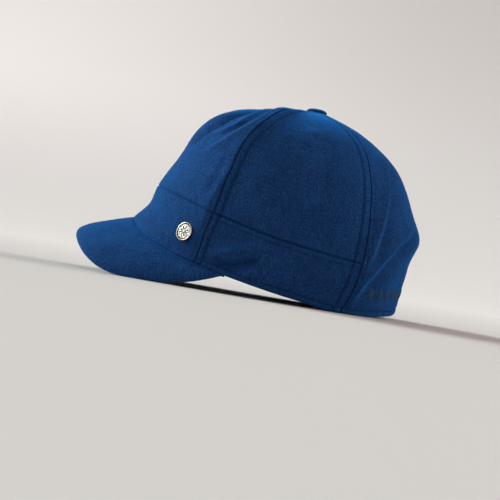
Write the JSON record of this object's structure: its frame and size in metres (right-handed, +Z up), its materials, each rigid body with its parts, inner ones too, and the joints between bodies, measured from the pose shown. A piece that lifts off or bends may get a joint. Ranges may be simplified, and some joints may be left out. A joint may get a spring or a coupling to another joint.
{
  "type": "wool cap",
  "caption": "Sewn cap of thick felted wool: a soft panelled crown on a deep band, a short curved peak, a covered button on top and a round metal badge at the side.",
  "frame": {"origin": "centre of the bounding box at the ground the cap rests on", "axes": "+Z up, -Y towards the peak's edge, +X towards the wearer's left, where the badge is"},
  "size_m": [0.19, 0.2573, 0.1488],
  "materials": {
    "wool_cloth": "felted, with a soft nap and lighter and darker flecks",
    "badge_metal": "satin, darkened in its hollows"
  },
  "bodies": {
    "root": {"front_panel": "wool_cloth", "front_band": "wool_cloth", "side_panel_left": "wool_cloth", "side_panel_right": "wool_cloth", "side_band_left": "wool_cloth", "side_band_right": "wool_cloth", "back_panel": "wool_cloth", "peak": "wool_cloth", "top_button": "wool_cloth", "badge": "badge_metal"}
  },
  "joints": []
}
